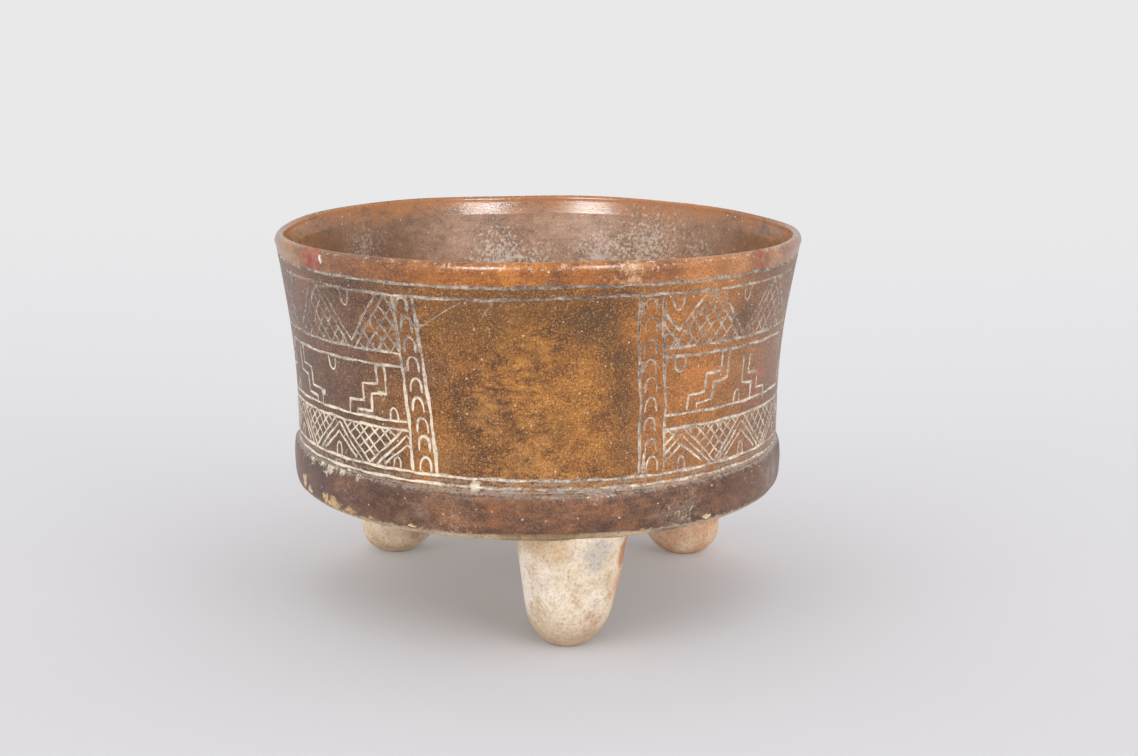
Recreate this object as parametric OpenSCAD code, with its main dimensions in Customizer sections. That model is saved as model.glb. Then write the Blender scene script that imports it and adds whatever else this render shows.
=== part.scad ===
// Cylindrical tripod vessel of fired clay: a flat disc on three solid nubbin feet, a flaring wall
// of three curved slabs, a rounded rim coil, and a basal band that wraps the joint of wall and disc.
// Millimetres, +Z up. The floor is z = 0, the vessel's axis is the Z axis and the front faces -Y.
// Azimuths are counted in degrees from the front, positive towards +X.

/* [Vessel] */
// Outer radius at the mouth
rim_r = 83.2; // [78:0.1:95]
// Overall height from the floor to the top of the lip
total_h = 117; // [105:0.5:135]
// Outer radius of the wall at its waist
waist_r = 76.9; // [68:0.1:82]
// Height at which the wall starts to flare
waist_z = 66; // [56:0.5:85]
// Sharpness of the flare, 1 is a cone and 2 a full curve
flare_power = 1.5; // [1.1:0.1:2.5]

/* [Wall slabs] */
// Wall thickness at the foot of the wall
wall_foot_t = 6; // [4:0.1:10]
// Wall thickness just under the rim coil
wall_top_t = 3.6; // [3:0.1:8]
// Azimuth of the joint at the front left
joint_left_az = -59; // [-100:1:-30]
// Azimuth of the joint at the front right
joint_right_az = 61; // [30:1:100]
// Azimuth of the joint at the rear
joint_rear_az = 181; // [150:1:210]

/* [Rim coil] */
// Height of the rim coil, from its joint to the top of the lip
rim_h = 6; // [4:0.25:12]
// Thickness of the rounded lip
lip_t = 3; // [2:0.1:4.5]

/* [Rim mends] */
// Azimuth of the wide mend at the left of the rim
mend_left_az = -53; // [-80:1:-30]
// Width of the wide mend
mend_left_w = 11; // [5:0.1:16]
// Azimuth of the narrow mend at the right of the rim
mend_right_az = 53; // [30:1:80]
// Width of the narrow mend
mend_right_w = 3.6; // [2:0.1:8]
// Depth of both mends, in from the widest part of the lip
mend_depth = 1.6; // [1.2:0.1:2.4]

/* [Base disc] */
// Thickness of the disc
floor_t = 8; // [6:0.25:12]
// Rounding of the disc's lower edge
edge_round = 0.6; // [0.2:0.1:0.8]

/* [Basal band] */
// How far the band stands proud of the wall
band_proud = 1.4; // [1.2:0.1:4]
// How far the disc's edge and the wall's foot are pared back to seat the band
band_pare = 1; // [0.6:0.1:2]
// Height of the band, from its lower edge to the ledge
band_h = 12.8; // [9:0.1:20]
// Height of the band's lower edge above the underside of the disc
band_lift = 1.2; // [0.8:0.1:4]
// Rounding of the band's lower outer edge
band_edge_round = 1.8; // [0.5:0.1:2.2]
// Rounding of the ledge
ledge_round = 0.8; // [0.3:0.1:1.2]

/* [Corner coil] */
// Radius of the clay coil smoothed into the corner of floor and wall
coil_r = 5; // [2:0.25:9]

/* [Feet] */
// Height of the underside of the disc above the floor
foot_h = 36; // [20:0.5:50]
// Radius of a foot at its head
foot_head_r = 16.8; // [14:0.1:17.5]
// Slope of a foot's side from upright, in degrees
foot_slope = 8; // [4:0.25:10]
// Rounding of a foot's tip, from its side to the worn flat
foot_tip_round = 9; // [3:0.1:11]
// Depth of the seat that each head is pressed into, in the underside of the disc
seat_depth = 1.5; // [0.5:0.1:3]
// Distance of a foot's head from the edge of the disc's flat underside
foot_inset = 0.5; // [0.3:0.1:20]
// Azimuth of the front foot
foot_front_az = 10; // [-20:1:40]
// Azimuth of the rear left foot
foot_rear_left_az = -126; // [-150:1:-100]
// Azimuth of the rear right foot
foot_rear_right_az = 125; // [100:1:150]

/* [Foot luting] */
// Width of the clay fillet round a foot's head, along the underside of the disc
luting_w = 3; // [1:0.1:5]
// Height of the fillet down the side of the foot
luting_h = 4; // [1:0.1:8]

/* [Hidden] */
$fn = 96;
full_turn = 360;
quarter_turn = 90;
band_seat_r = waist_r - band_pare;
band_r = waist_r + band_proud;
flat_edge_r = band_seat_r - edge_round;
foot_ring_r = flat_edge_r - foot_inset - foot_head_r;
floor_z = foot_h + floor_t;
ledge_z = foot_h + band_lift + band_h;
rim_z = total_h - rim_h;
lip_r = lip_t / 2;
lip_z = total_h - lip_r;
curve_steps = 12;
arc_steps = 10;
foot_taper = tan(foot_slope);
foot_side_r = foot_head_r - foot_h * foot_taper;
flat_r = foot_side_r - foot_tip_round * tan((quarter_turn - foot_slope) / 2);
slip_colour = "saddlebrown";
clay_colour = "burlywood";
mend_colour = "firebrick";

// Outer radius of the wall at a height, above the ledge
function wall_outer(z) =
    waist_r + (rim_r - waist_r) * pow(max(0, z - waist_z) / (lip_z - waist_z), flare_power);

// Thickness of the wall at a height
function wall_t(z) = wall_foot_t + (wall_top_t - wall_foot_t) * (z - floor_z) / (rim_z - floor_z);

// Inner radius of the wall at a height
function wall_inner(z) = wall_outer(z) - wall_t(z);

// Radius of a foot's side at a height above its tip rounding
function foot_r(z) = foot_side_r + z * foot_taper;

// Point on a round of radius r about a centre, at an angle from the outward direction
function on_arc(centre, r, a) = [centre[0] + r * cos(a), centre[1] + r * sin(a)];

// Heights of equal steps from one level to another
function levels(z0, z1) = [for (i = [0 : curve_steps]) z0 + (z1 - z0) * i / curve_steps];

// Turns a child made at the front to an azimuth
module at_azimuth(az) {
    rotate([0, 0, az])
        children();
}

// Moves a child made on the Z axis to a place on the ring of feet
module at_foot(az) {
    at_azimuth(az)
        translate([0, -foot_ring_r, 0])
            children();
}

// Section of the wall: pared below the ledge, straight to the waist, then flaring to the rim joint
module wall_section() {
    polygon(concat(
        [[wall_inner(floor_z), floor_z], [band_seat_r, floor_z], [band_seat_r, ledge_z],
         [wall_outer(ledge_z), ledge_z]],
        [for (z = levels(waist_z, rim_z)) [wall_outer(z), z]],
        [for (i = [curve_steps : -1 : 1]) let (z = floor_z + (rim_z - floor_z) * i / curve_steps)
            [wall_inner(z), z]]));
}

// Curved slab of the wall between two azimuths
module wall_slab(from_az, to_az) {
    color(slip_colour)
        rotate([0, 0, from_az - quarter_turn])
            rotate_extrude(angle = to_az - from_az)
                wall_section();
}

// Section of the rim coil: follows the wall and ends in a rounded lip
module rim_section() {
    lip_centre = [wall_outer(lip_z) - lip_r, lip_z];
    polygon(concat(
        [[wall_inner(rim_z), rim_z]],
        [for (z = levels(rim_z, lip_z)) [wall_outer(z), z]],
        [for (i = [1 : arc_steps]) on_arc(lip_centre, lip_r, 2 * quarter_turn * i / arc_steps)]));
}

// Whole ring of the rim, before the mends are let in
module rim_ring() {
    rotate_extrude()
        rim_section();
}

// Outer skin of the rim, as deep as the mends
module rim_skin() {
    difference() {
        cylinder(h = total_h + rim_h, r = rim_r + rim_h);
        translate([0, 0, -rim_h])
            cylinder(h = total_h + 3 * rim_h, r = rim_r - mend_depth);
    }
}

// Upright bar that crosses the rim at an azimuth, as wide as a mend
module mend_bar(az, w) {
    at_azimuth(az)
        translate([-w / 2, -2 * rim_r, rim_z - rim_h])
            cube([w, 2 * rim_r, 3 * rim_h]);
}

// Mend let into the outer face of the lip
module rim_mend(az, w) {
    color(mend_colour)
        intersection() {
            rim_ring();
            rim_skin();
            mend_bar(az, w);
        }
}

// Body of one foot, tip down on the floor, head pressed into its seat
module foot_body() {
    tip_centre = [flat_r, foot_tip_round];
    rotate_extrude()
        polygon(concat(
            [[0, 0]],
            [for (i = [0 : arc_steps])
                on_arc(tip_centre, foot_tip_round,
                       (quarter_turn - foot_slope) * i / arc_steps - quarter_turn)],
            [[foot_head_r, foot_h], [foot_head_r, foot_h + seat_depth], [0, foot_h + seat_depth]]));
}

// Clay fillet round the head of one foot
module luting_body() {
    rotate_extrude()
        polygon([[foot_r(foot_h - luting_h), foot_h - luting_h],
                 [foot_r(foot_h), foot_h],
                 [foot_r(foot_h) + luting_w, foot_h]]);
}

// Fillet at one foot, trimmed at the edge of the disc's flat underside
module luting(az) {
    color(clay_colour)
        intersection() {
            at_foot(az)
                luting_body();
            cylinder(h = floor_z, r = flat_edge_r);
        }
}

// Flat disc with a rounded lower edge and a shallow seat for each foot
module base_disc() {
    edge_centre = [flat_edge_r, foot_h + edge_round];
    color(clay_colour)
        difference() {
            rotate_extrude()
                polygon(concat(
                    [[0, foot_h]],
                    [for (i = [0 : arc_steps])
                        on_arc(edge_centre, edge_round, quarter_turn * i / arc_steps - quarter_turn)],
                    [[band_seat_r, floor_z], [0, floor_z]]));
            for (az = [foot_front_az, foot_rear_left_az, foot_rear_right_az])
                at_foot(az)
                    cylinder(h = foot_h + seat_depth, r = foot_head_r);
        }
}

// Coil smoothed to a hollow fillet in the corner of floor and wall
module corner_coil() {
    corner_r = wall_inner(floor_z);
    top_r = wall_inner(floor_z + coil_r);
    hollow_centre = [corner_r - coil_r, floor_z + coil_r];
    color(slip_colour)
        rotate_extrude()
            polygon(concat(
                [[corner_r, floor_z], [top_r, floor_z + coil_r]],
                [for (i = [0 : arc_steps])
                    on_arc(hollow_centre, coil_r, -quarter_turn * i / arc_steps)]));
}

// Slab at the front, between the two front joints
module wall_slab_front() {
    wall_slab(joint_left_az, joint_right_az);
}

// Slab at the right, from the front right joint to the rear joint
module wall_slab_right() {
    wall_slab(joint_right_az, joint_rear_az);
}

// Slab at the left, from the rear joint to the front left joint
module wall_slab_left() {
    wall_slab(joint_rear_az, joint_left_az + full_turn);
}

// Rim coil with the pockets of the two mends
module rim_coil() {
    color(slip_colour)
        difference() {
            rim_ring();
            intersection() {
                rim_skin();
                union() {
                    mend_bar(mend_left_az, mend_left_w);
                    mend_bar(mend_right_az, mend_right_w);
                }
            }
        }
}

// Wide mend at the left of the rim
module rim_mend_left() {
    rim_mend(mend_left_az, mend_left_w);
}

// Narrow mend at the right of the rim
module rim_mend_right() {
    rim_mend(mend_right_az, mend_right_w);
}

// Band of clay wrapped round the disc's edge and the pared foot of the wall
module basal_band() {
    low_z = ledge_z - band_h;
    low_centre = [band_r - band_edge_round, low_z + band_edge_round];
    ledge_centre = [band_r - ledge_round, ledge_z - ledge_round];
    color(slip_colour)
        rotate_extrude()
            polygon(concat(
                [[band_seat_r, low_z]],
                [for (i = [0 : arc_steps])
                    on_arc(low_centre, band_edge_round, quarter_turn * i / arc_steps - quarter_turn)],
                [for (i = [0 : arc_steps]) on_arc(ledge_centre, ledge_round, quarter_turn * i / arc_steps)],
                [[band_seat_r, ledge_z]]));
}

// Foot at the front
module foot_front() {
    color(clay_colour)
        at_foot(foot_front_az)
            foot_body();
}

// Foot at the rear left
module foot_rear_left() {
    color(clay_colour)
        at_foot(foot_rear_left_az)
            foot_body();
}

// Foot at the rear right
module foot_rear_right() {
    color(clay_colour)
        at_foot(foot_rear_right_az)
            foot_body();
}

// Fillet at the front foot
module luting_front() {
    luting(foot_front_az);
}

// Fillet at the rear left foot
module luting_rear_left() {
    luting(foot_rear_left_az);
}

// Fillet at the rear right foot
module luting_rear_right() {
    luting(foot_rear_right_az);
}

base_disc();
corner_coil();
wall_slab_front();
wall_slab_left();
wall_slab_right();
rim_coil();
rim_mend_left();
rim_mend_right();
basal_band();
foot_front();
foot_rear_left();
foot_rear_right();
luting_front();
luting_rear_left();
luting_rear_right();
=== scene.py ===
import bpy
import math
import random
from mathutils import Matrix, Vector


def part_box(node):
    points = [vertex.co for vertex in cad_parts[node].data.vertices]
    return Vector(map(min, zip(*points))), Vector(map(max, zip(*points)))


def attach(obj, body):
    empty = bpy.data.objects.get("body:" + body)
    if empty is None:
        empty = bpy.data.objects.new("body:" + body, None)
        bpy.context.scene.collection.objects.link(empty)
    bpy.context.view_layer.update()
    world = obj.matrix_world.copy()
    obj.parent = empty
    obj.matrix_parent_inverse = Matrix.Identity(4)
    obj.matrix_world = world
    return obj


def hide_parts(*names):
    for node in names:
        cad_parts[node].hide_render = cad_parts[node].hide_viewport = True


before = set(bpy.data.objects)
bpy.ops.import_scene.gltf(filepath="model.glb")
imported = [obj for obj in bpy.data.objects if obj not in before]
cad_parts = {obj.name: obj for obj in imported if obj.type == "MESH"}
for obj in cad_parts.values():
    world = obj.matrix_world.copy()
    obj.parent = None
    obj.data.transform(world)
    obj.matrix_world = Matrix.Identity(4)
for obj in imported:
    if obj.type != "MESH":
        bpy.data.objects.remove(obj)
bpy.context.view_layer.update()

# Base disc
# A flat disc of coarse clay that is the floor of the vessel, patted out on a mat and left bare below.
# Its top is inside the vessel and carries the same brown slip as the walls.
MM = 0.001
disc_low, disc_high = (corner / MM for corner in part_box("base_disc"))
under_z, floor_z, disc_r = disc_low.z, disc_high.z, disc_high.x


def linear(hexa):
    """sRGB hex colour as linear red, green, blue and alpha."""
    parts = [int(hexa[i:i + 2], 16) / 255 for i in (1, 3, 5)]
    return [p / 12.92 if p <= 0.04045 else ((p + 0.055) / 1.055) ** 2.4 for p in parts] + [1.0]


# Sockets of a Mix node share their names, so they go by number: 0 is the share, 2 and 3 are the two numbers,
# 6 and 7 the two colours, and the result is output 0 for numbers and 2 for colours
def add(tree, kind, links=(), stops=(), **settings):
    """Adds a node with its settings, its socket values or links, and the stops of its colour ramp."""
    made = tree.nodes.new(kind)
    for name, value in settings.items():
        setattr(made, name, value)
    for socket, value in dict(links).items():
        if isinstance(value, bpy.types.NodeSocket):
            tree.links.new(value, made.inputs[socket])
        else:
            made.inputs[socket].default_value = value
    for i, (place, colour) in enumerate(stops):
        stop = made.color_ramp.elements[i] if i < 2 else made.color_ramp.elements.new(place)
        stop.position = place
        stop.color = linear(colour)
    return made


def pick_only(piece):
    """Makes one object the only selected and active one."""
    bpy.ops.object.select_all(action="DESELECT")
    piece.select_set(True)
    bpy.context.view_layer.objects.active = piece


# Points closer than seam_gap become one, faces thinner than sliver are closed, and what lies within end_az
# degrees of a cut end belongs to it
seam_gap, sliver = 0.001 * MM, 0.002 * MM
end_az = 0.01


def turned(name, outline, closed, steps, from_az=0.0, turn=360.0):
    """Draws an outline of (radius, height) in millimetres and spins it about the vessel's axis."""
    a = math.radians(from_az)
    drawn = [(r * math.sin(a) * MM, -r * math.cos(a) * MM, z * MM) for r, z in outline]
    edges = [(i, i + 1) for i in range(len(drawn) - 1)] + ([(len(drawn) - 1, 0)] if closed else [])
    mesh = bpy.data.meshes.new(name)
    mesh.from_pydata(drawn, edges, [])
    piece = bpy.data.objects.new(name, mesh)
    bpy.context.scene.collection.objects.link(piece)
    pick_only(piece)
    bpy.ops.object.mode_set(mode="EDIT")
    bpy.ops.mesh.select_all(action="SELECT")
    bpy.ops.mesh.spin(steps=steps, angle=-math.radians(turn), center=(0, 0, 0), axis=(0, 0, 1))
    bpy.ops.mesh.select_all(action="SELECT")
    bpy.ops.mesh.remove_doubles(threshold=seam_gap)
    if turn < 360.0:
        for end in (from_az, from_az + turn):
            bpy.ops.object.mode_set(mode="OBJECT")
            for v in mesh.vertices:
                across = math.degrees(math.atan2(v.co.x, -v.co.y)) - end
                v.select = abs((across + 180) % 360 - 180) < end_az
            for e in mesh.edges:
                e.select = all(mesh.vertices[i].select for i in e.vertices)
            for f in mesh.polygons:
                f.select = False
            bpy.ops.object.mode_set(mode="EDIT")
            bpy.ops.mesh.edge_face_add()
    bpy.ops.mesh.select_all(action="SELECT")
    bpy.ops.mesh.normals_make_consistent(inside=False)
    bpy.ops.object.mode_set(mode="OBJECT")
    return piece


def polar(co):
    """Azimuth in degrees, radius and height in millimetres of a point in metres."""
    return math.degrees(math.atan2(co.x, -co.y)), math.hypot(co.x, co.y) / MM, co.z / MM


def swell(az, z):
    """How far the hand-built vessel stands out from a true circle."""
    a = math.radians(az)
    return (0.24 * math.sin(2 * a + 0.7) + 0.15 * math.sin(3 * a + 1.9) + 0.10 * math.sin(5 * a + z / 9)
            + 0.06 * math.sin(9 * a - z / 6))


def finish_piece(piece, node, angle=38.0):
    """Clears a piece of slivers, shades it, ties it to the body and lets it stand for its node."""
    pick_only(piece)
    bpy.ops.object.mode_set(mode="EDIT")
    bpy.ops.mesh.select_all(action="SELECT")
    bpy.ops.mesh.dissolve_degenerate(threshold=sliver)
    bpy.ops.mesh.quads_convert_to_tris(quad_method="BEAUTY", ngon_method="BEAUTY")
    bpy.ops.mesh.dissolve_degenerate(threshold=sliver)
    bpy.ops.mesh.select_mode(type="EDGE")
    bpy.ops.mesh.select_all(action="DESELECT")
    bpy.ops.mesh.select_non_manifold(use_multi_face=False, use_non_contiguous=False, use_verts=False)
    bpy.ops.mesh.delete(type="EDGE")
    bpy.ops.mesh.select_mode(type="VERT")
    bpy.ops.object.mode_set(mode="OBJECT")
    bpy.ops.object.shade_smooth_by_angle(angle=math.radians(angle))
    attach(piece, "root")
    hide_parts(node)


# A stain shows where the noise, pushed up near it and down far from it, is above its middle
noise_mid, far_push = 0.5, -0.25


def stained(tree, place, breakup, colour, stains, soft):
    """Lays ragged stains over a colour. Each has a point or a height in millimetres, how far it reaches,
    its shade, a push that spreads it and the most of it that shows."""
    for where, reach, shade, push, most in stains:
        if isinstance(where, tuple):
            gone = add(tree, "ShaderNodeVectorMath", {0: place, 1: [c * MM for c in where]},
                       operation="DISTANCE").outputs["Value"]
        else:
            height = add(tree, "ShaderNodeSeparateXYZ", {"Vector": place}).outputs["Z"]
            above = add(tree, "ShaderNodeMath", {0: height, 1: where * MM},
                        operation="SUBTRACT").outputs["Value"]
            gone = add(tree, "ShaderNodeMath", {0: above}, operation="ABSOLUTE").outputs["Value"]
        near = add(tree, "ShaderNodeMapRange", {"Value": gone, "From Min": reach * MM, "From Max": 0.0,
                                                "To Min": far_push, "To Max": push}).outputs["Result"]
        level = add(tree, "ShaderNodeMath", {0: breakup, 1: near}, operation="ADD").outputs["Value"]
        share = add(tree, "ShaderNodeMapRange", {"Value": level, "From Min": noise_mid, "To Max": most,
                                                 "From Max": noise_mid + soft}).outputs["Result"]
        colour = add(tree, "ShaderNodeMix", {0: share, 6: colour, 7: linear(shade)},
                     data_type="RGBA").outputs[2]
    return colour


def new_finish(name):
    """A material with an empty node tree, and that tree."""
    material = bpy.data.materials.new(name)
    material.use_nodes = True
    material.node_tree.nodes.clear()
    return material, material.node_tree


# Bare buff clay: matt, sandy, with grey smoke stains and brick-red flashes from the open firing,
# which gives the eye a chalky pale skin broken by soft patches, grit and pinholes.
def buff_clay(name, tones, stains):
    material, tree = new_finish(name)
    place = add(tree, "ShaderNodeTexCoord").outputs["Object"]
    patches = add(tree, "ShaderNodeTexNoise", {"Vector": place, "Scale": 1 / (8 * MM), "Detail": 6.0,
                                               "Roughness": 0.66}).outputs["Fac"]
    grit = add(tree, "ShaderNodeTexNoise", {"Vector": place, "Scale": 1 / (0.9 * MM), "Detail": 4.0,
                                            "Roughness": 0.75}).outputs["Fac"]
    body = add(tree, "ShaderNodeValToRGB", {"Fac": patches}, stops=tones).outputs["Color"]
    body = stained(tree, place, patches, body, stains, 0.16)
    sand = add(tree, "ShaderNodeValToRGB", {"Fac": grit},
               stops=[(0.30, "#9c8770"), (0.46, "#f0e6da"), (0.56, "#ffffff")]).outputs["Color"]
    body = add(tree, "ShaderNodeMix", {0: 0.62, 6: body, 7: sand}, data_type="RGBA",
               blend_type="MULTIPLY").outputs[2]
    pits = add(tree, "ShaderNodeTexNoise", {"Vector": place, "Scale": 1 / (2.4 * MM), "Detail": 6.0,
                                            "Roughness": 0.78}).outputs["Fac"]
    bump = add(tree, "ShaderNodeBump", {"Height": pits, "Strength": 0.5, "Distance": 0.9 * MM})
    shader = add(tree, "ShaderNodeBsdfPrincipled", {"Base Color": body, "Roughness": 0.88,
                                                    "Normal": bump.outputs["Normal"]})
    add(tree, "ShaderNodeOutputMaterial", {"Surface": shader.outputs["BSDF"]})
    return material


# Brown slip: an iron-rich clay wash rubbed with a pebble until it shone. It is gold where it lies thin,
# plum-brown towards the left and the far right and orange on the right, clouded dark by smoke, flecked with
# gold grains of mica and white specks of lime, and dusted with chalk beside the incised lines.
gold_tones = [(0.37, "#3f2a1a"), (0.44, "#633f20"), (0.50, "#8c5927"), (0.56, "#ae722f"), (0.63, "#cc9045")]
plum_tones = [(0.36, "#392721"), (0.45, "#563d31"), (0.52, "#6c4c3c"), (0.62, "#88644d")]
rust_tones = [(0.36, "#6a4227"), (0.45, "#8d592b"), (0.52, "#a96c37"), (0.62, "#c28951")]


def brown_slip(name, tones, stains, crust, gloss, shine, flake):
    """Slip with a crust over its stains in flakes of a size in millimetres; gloss is its least roughness
    and shine the share of mica."""
    thin, left, right = tones
    material, tree = new_finish(name)
    place = add(tree, "ShaderNodeTexCoord").outputs["Object"]
    across = add(tree, "ShaderNodeSeparateXYZ", {"Vector": place}).outputs["X"]
    drift = add(tree, "ShaderNodeTexNoise", {"Vector": place, "Scale": 1 / (26 * MM), "Detail": 3.0,
                                             "Roughness": 0.6}).outputs["Fac"]
    wiped = add(tree, "ShaderNodeMapping", {"Vector": place, "Scale": (1.0, 1.0, 1.8)}).outputs["Vector"]
    mottle = add(tree, "ShaderNodeTexNoise", {"Vector": wiped, "Scale": 1 / (6 * MM), "Detail": 7.0,
                                              "Roughness": 0.8}).outputs["Fac"]
    grains = add(tree, "ShaderNodeTexNoise", {"Vector": place, "Scale": 1 / (0.55 * MM), "Detail": 3.0,
                                              "Roughness": 0.75}).outputs["Fac"]
    both = add(tree, "ShaderNodeMix", {0: 0.58, 2: drift, 3: mottle}).outputs[0]
    tone = add(tree, "ShaderNodeMix", {0: 0.12 + 0.33 * shine, 2: both, 3: grains}).outputs[0]
    colour = add(tree, "ShaderNodeValToRGB", {"Fac": tone}, stops=thin).outputs["Color"]
    # Towards the sides: where each colour starts and is full, to the right of the middle in millimetres
    for shades, start, full, most in ((left, -30, -52, 0.95), (right, 24, 34, 0.9), (left, 50, 72, 0.75)):
        shown = add(tree, "ShaderNodeValToRGB", {"Fac": tone}, stops=shades).outputs["Color"]
        there = add(tree, "ShaderNodeMapRange", {"Value": across, "From Min": start * MM, "From Max": full * MM,
                                                 "To Max": most}).outputs["Result"]
        colour = add(tree, "ShaderNodeMix", {0: there, 6: colour, 7: shown}, data_type="RGBA").outputs[2]
    colour = stained(tree, place, mottle, colour, stains, 0.2)
    mica = add(tree, "ShaderNodeMapRange", {"Value": grains, "From Min": 0.56, "From Max": 0.70,
                                            "To Max": shine}).outputs["Result"]
    colour = add(tree, "ShaderNodeMix", {0: mica, 6: colour, 7: linear("#dcac6e")},
                 data_type="RGBA").outputs[2]
    # Pinholes are painted dark: painted shade in the pores
    pore_shade = add(tree, "ShaderNodeMapRange", {"Value": grains, "From Min": 0.44, "From Max": 0.31,
                                             "To Max": 0.72}).outputs["Result"]
    colour = add(tree, "ShaderNodeMix", {0: pore_shade, 6: colour, 7: linear("#3a271a")},
                 data_type="RGBA").outputs[2]
    # Lime specks are ragged, up to 0.7 mm wide and a few millimetres apart
    ragged = add(tree, "ShaderNodeTexNoise", {"Vector": place, "Scale": 1 / (0.6 * MM)}).outputs["Color"]
    shifted = add(tree, "ShaderNodeVectorMath", {0: ragged, "Scale": 0.5 * MM},
                  operation="SCALE").outputs["Vector"]
    strayed = add(tree, "ShaderNodeVectorMath", {0: place, 1: shifted}, operation="ADD").outputs["Vector"]
    specks = add(tree, "ShaderNodeTexVoronoi", {"Vector": strayed, "Scale": 1 / (2.3 * MM)})
    core = add(tree, "ShaderNodeMapRange", {"Value": specks.outputs["Distance"], "From Min": 0.15,
                                            "From Max": 0.06}).outputs["Result"]
    chance = add(tree, "ShaderNodeSeparateColor", {"Color": specks.outputs["Color"]}).outputs["Red"]
    chosen = add(tree, "ShaderNodeMapRange", {"Value": chance, "From Min": 0.52, "From Max": 0.92,
                                              "To Max": 0.9}).outputs["Result"]
    lime = add(tree, "ShaderNodeMath", {0: core, 1: chosen}, operation="MULTIPLY").outputs["Value"]
    colour = add(tree, "ShaderNodeMix", {0: lime, 6: colour, 7: linear("#f0e4cc")},
                 data_type="RGBA").outputs[2]
    flakes = add(tree, "ShaderNodeTexNoise", {"Vector": place, "Scale": 1 / (flake * MM), "Detail": 5.0,
                                              "Roughness": 0.75}).outputs["Fac"]
    colour = stained(tree, place, flakes, colour, crust, 0.11)
    beside = add(tree, "ShaderNodeAttribute", attribute_name="chalk_dust").outputs["Fac"]
    strewn = add(tree, "ShaderNodeMath", {0: beside, 1: 0.36}, operation="MULTIPLY").outputs["Value"]
    strewn = add(tree, "ShaderNodeMath", {0: strewn, 1: flakes}, operation="ADD").outputs["Value"]
    dust = add(tree, "ShaderNodeMapRange", {"Value": strewn, "From Min": 0.80, "From Max": 1.0,
                                            "To Max": 0.7}).outputs["Result"]
    colour = add(tree, "ShaderNodeMix", {0: dust, 6: colour, 7: linear("#cdbfac")},
                 data_type="RGBA").outputs[2]
    # The smoother the slip is rubbed, the more it mirrors
    rough = add(tree, "ShaderNodeMapRange", {"Value": mottle, "From Min": 0.35, "From Max": 0.65,
                                             "To Min": gloss, "To Max": gloss + 0.14}).outputs["Result"]
    mirror = 1.0 - 1.7 * gloss
    rubbed = add(tree, "ShaderNodeMapping", {"Vector": place, "Scale": (1.0, 1.0, 6.0)}).outputs["Vector"]
    streaks = add(tree, "ShaderNodeTexNoise", {"Vector": rubbed, "Scale": 1 / (7 * MM), "Detail": 5.0,
                                               "Roughness": 0.7}).outputs["Fac"]
    height = add(tree, "ShaderNodeMix", {0: 0.4, 2: streaks, 3: grains}).outputs[0]
    bump = add(tree, "ShaderNodeBump", {"Height": height, "Strength": 0.18, "Distance": 0.5 * MM})
    shader = add(tree, "ShaderNodeBsdfPrincipled", {"Base Color": colour, "Roughness": rough,
                                                    "Specular IOR Level": mirror,
                                                    "Normal": bump.outputs["Normal"]})
    add(tree, "ShaderNodeOutputMaterial", {"Surface": shader.outputs["BSDF"]})
    return material


under_clay = buff_clay("bare_buff_clay", [(0.34, "#a58f76"), (0.50, "#c9b494"), (0.66, "#dfcfb5")],
                       [((30, 40, 36), 34, "#b98a6c", 0.05, 0.7), ((-20, 10, 36), 40, "#a79b8d", 0.02, 0.7),
                        ((40, -64, 36), 28, "#786a5e", 0.16, 0.85), ((-30, -68, 36), 24, "#b59f82", 0.1, 0.8),
                        ((6, -78, 36), 50, "#846848", 0.22, 0.8)])
inside_tones = [[(0.36, "#74533b"), (0.46, "#a57d60"), (0.53, "#bf9576"), (0.63, "#d6b094")],
                [(0.36, "#573a20"), (0.50, "#845a35"), (0.63, "#a5784b")],
                [(0.36, "#734f36"), (0.50, "#a57956"), (0.63, "#be946e")]]
inside_slip = brown_slip(
    "rubbed_slip_inside", inside_tones,
    # The dark brown patch on the inner left wall is partly the slip's own darker brown and partly painted shade
    [(117.0, 15.0, "#b87231", 0.22, 0.85), ((-62, 40, 92), 44, "#5d391d", 0.23, 0.75),
     ((0, 0, 44), 62, "#7d6a5a", 0.05, 0.6)],
    [((22, 75, 96), 30, "#e8d6c4", 0.10, 0.7), ((39, 68, 99), 34, "#e8d6c4", 0.11, 0.75),
     ((56, 55, 100), 22, "#d2c6b8", 0.08, 0.65), ((-15, 76, 96), 26, "#ecdccb", 0.11, 0.8),
     ((-3, 78, 93), 24, "#e8d6c4", 0.09, 0.75), ((-61, 49, 102), 26, "#bcaea1", 0.07, 0.6),
     ((10, -10, 44), 60, "#a8998a", 0.02, 0.6)],
    0.10, 0.15, 1.15)

disc_edge = [(disc_r - 1.7, under_z), (disc_r - 0.7, under_z + 0.3), (disc_r - 0.2, under_z + 0.8),
             (disc_r - 0.1, under_z + 1.6)]
disc_rings = (12, 26, 40, 54, 66)
disc_section = ([(0, under_z)] + [(r, under_z) for r in disc_rings] + disc_edge + [(disc_r - 0.1, floor_z)]
                + [(r, floor_z) for r in reversed(disc_rings)] + [(0, floor_z)])
disc_margin, pat_height, pat_r = 4.0, 0.35, 9
base_disc = turned("clay_base_disc", disc_section, False, 120)
for v in base_disc.data.vertices:
    az, r, z = polar(v.co)
    if r < disc_r - disc_margin:
        v.co.z += pat_height * MM * math.sin(r / pat_r + math.radians(3 * az)) * min(1.0, r / disc_rings[0])
    else:
        v.co *= Vector((1 + swell(az, z) / r, 1 + swell(az, z) / r, 1))
base_disc.data.materials.append(under_clay)
base_disc.data.materials.append(inside_slip)
for f in base_disc.data.polygons:
    f.material_index = 1 if f.normal.z > 0.5 else 0
finish_piece(base_disc, "base_disc")

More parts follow.
